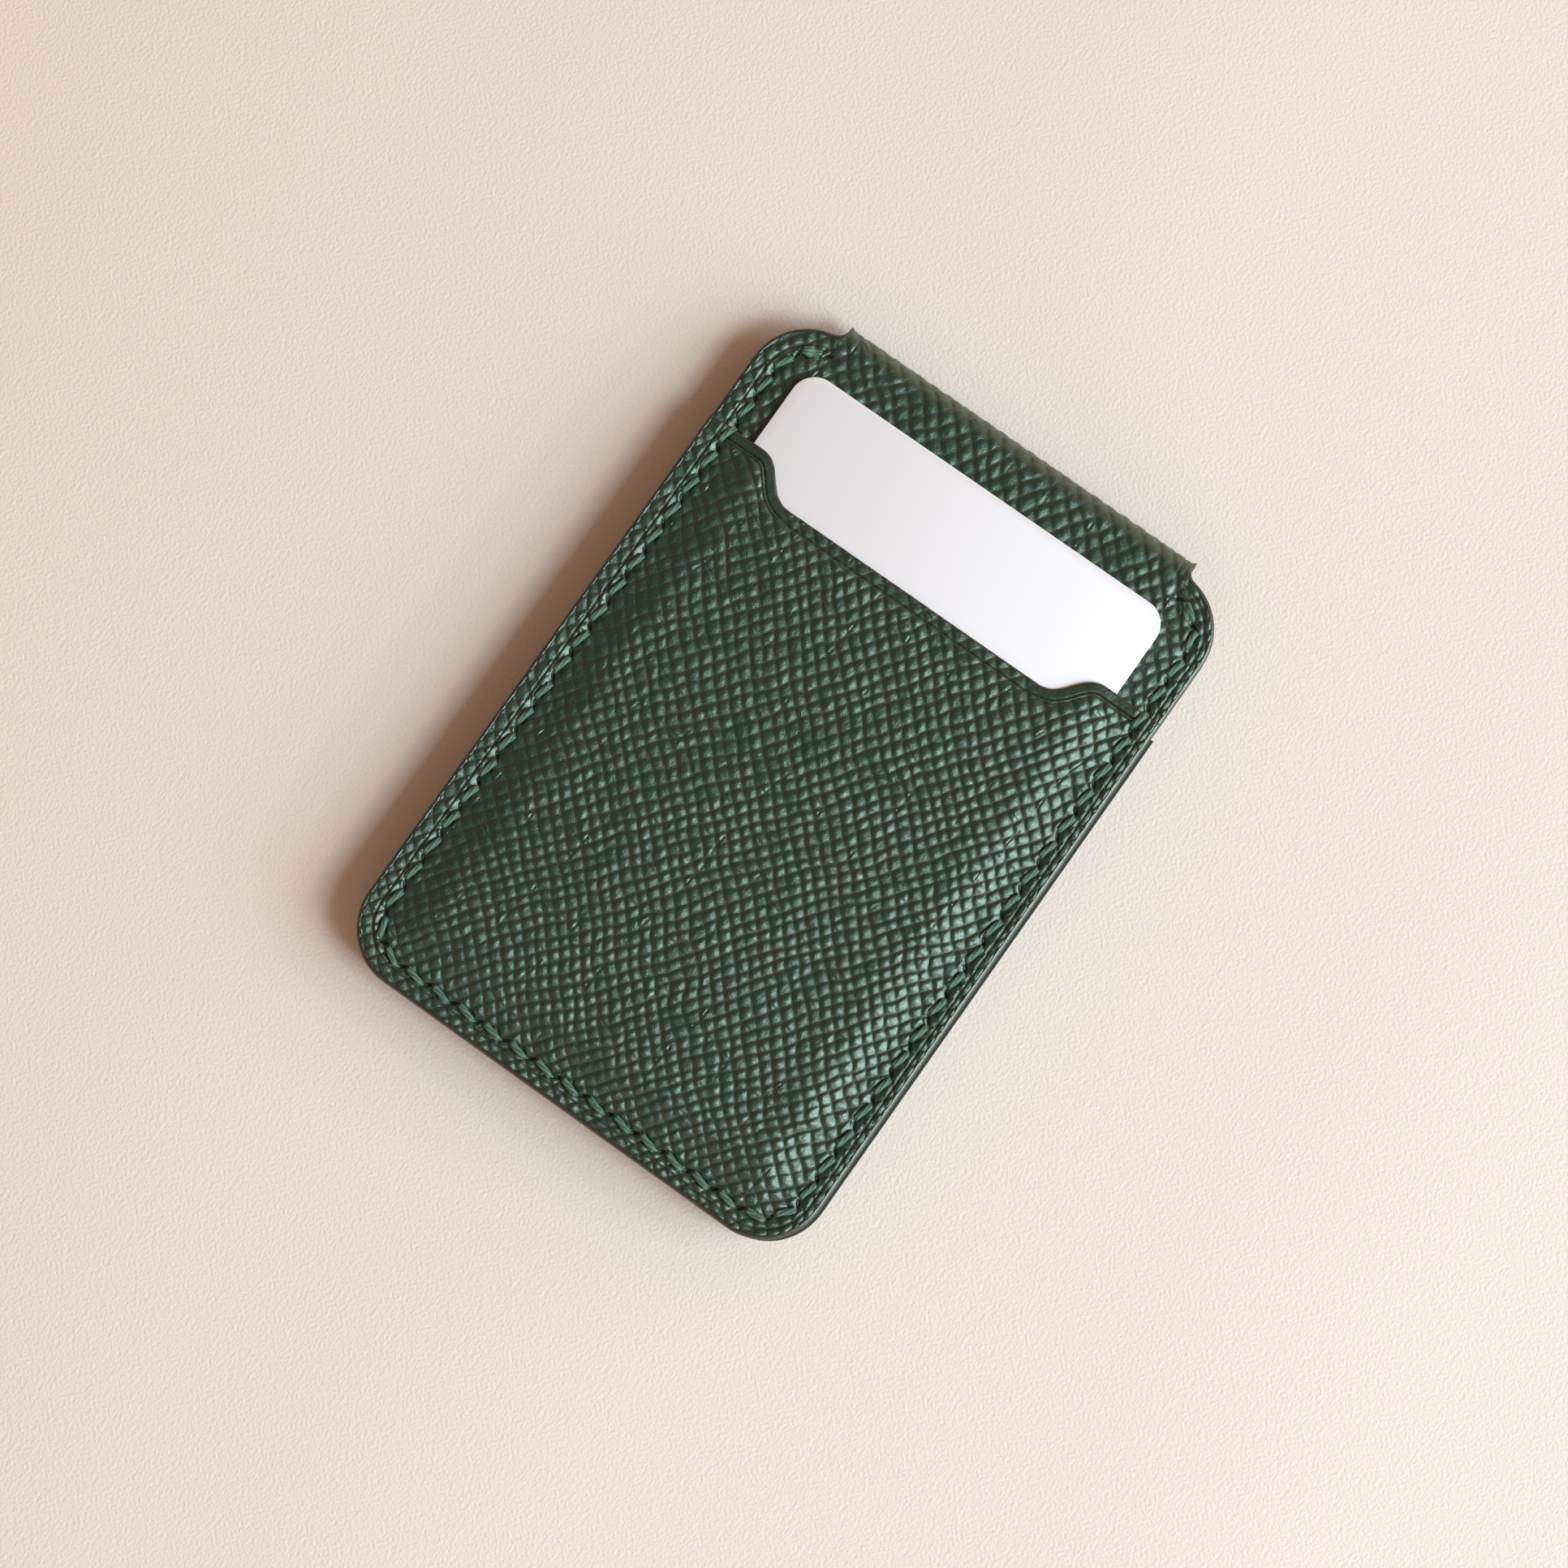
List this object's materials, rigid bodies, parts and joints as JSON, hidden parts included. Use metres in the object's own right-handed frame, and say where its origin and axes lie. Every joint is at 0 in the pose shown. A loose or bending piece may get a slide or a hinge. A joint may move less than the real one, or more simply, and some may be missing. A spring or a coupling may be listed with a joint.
{
  "type": "magnetic leather card holder with fold-out stand",
  "caption": "Slim stitched leather card holder that clings to a phone by a magnet ring; its card half folds out on a leather hinge as a stand, and the card slides out.",
  "frame": {"origin": "middle of the rear half's outer face, which lies on the phone or table, holder closed", "axes": "+X across the holder, +Y from the free end to the fold, +Z out of the card pocket"},
  "size_m": [0.067, 0.099, 0.008],
  "materials": {
    "green_leather": "cross-grain embossed, satin, with near-black painted edges",
    "suede_lining": "matt suede",
    "stiffening_board": "bonded leather fibre board",
    "nickel_plating": "nickel plated",
    "shield_steel": "rolled",
    "waxed_thread": "twisted and waxed",
    "card_plastic": "satin"
  },
  "bodies": {
    "rear_half": {"back_cover": "green_leather", "back_board": "stiffening_board", "board_disc": "stiffening_board", "ring_magnet_01": "nickel_plating", "ring_magnet_02": "nickel_plating", "ring_magnet_03": "nickel_plating", "ring_magnet_04": "nickel_plating", "ring_magnet_05": "nickel_plating", "ring_magnet_06": "nickel_plating", "ring_magnet_07": "nickel_plating", "ring_magnet_08": "nickel_plating", "ring_magnet_09": "nickel_plating", "ring_magnet_10": "nickel_plating", "ring_magnet_11": "nickel_plating", "ring_magnet_12": "nickel_plating", "ring_magnet_13": "nickel_plating", "ring_magnet_14": "nickel_plating", "ring_magnet_15": "nickel_plating", "ring_magnet_16": "nickel_plating", "shield_ring": "shield_steel", "aligning_magnet": "nickel_plating", "keeper_plate_left": "shield_steel", "keeper_plate_right": "shield_steel", "back_lining": "suede_lining", "rear_thread": "waxed_thread"},
    "fold": {"fold_strip": "green_leather", "fold_lining": "suede_lining"},
    "front_half": {"inner_pocket": "green_leather", "front_lining": "suede_lining", "front_board": "stiffening_board", "closing_magnet_left": "nickel_plating", "closing_magnet_right": "nickel_plating", "front_cover": "green_leather", "card_pocket": "green_leather", "front_thread": "waxed_thread"},
    "card_body": {"card": "card_plastic"}
  },
  "joints": [
    {"name": "fold_lower_bend", "type": "hinge", "parent": "rear_half", "child": "fold", "pos_m": [0, 0.04845, 0.00105], "axis": [-1, 0, 0], "range_deg": [0, 85]},
    {"name": "fold_upper_bend", "type": "hinge", "parent": "fold", "child": "front_half", "pos_m": [0, 0.04845, 0.00505], "axis": [-1, 0, 0], "range_deg": [0, 85]},
    {"name": "card_slide", "type": "slide", "parent": "front_half", "child": "card_body", "axis": [0, 1, 0], "range_m": [0, 0.08]}
  ],
  "couplings": [
    {"joint": "fold_upper_bend", "follows": "fold_lower_bend", "ratio": 1}
  ]
}
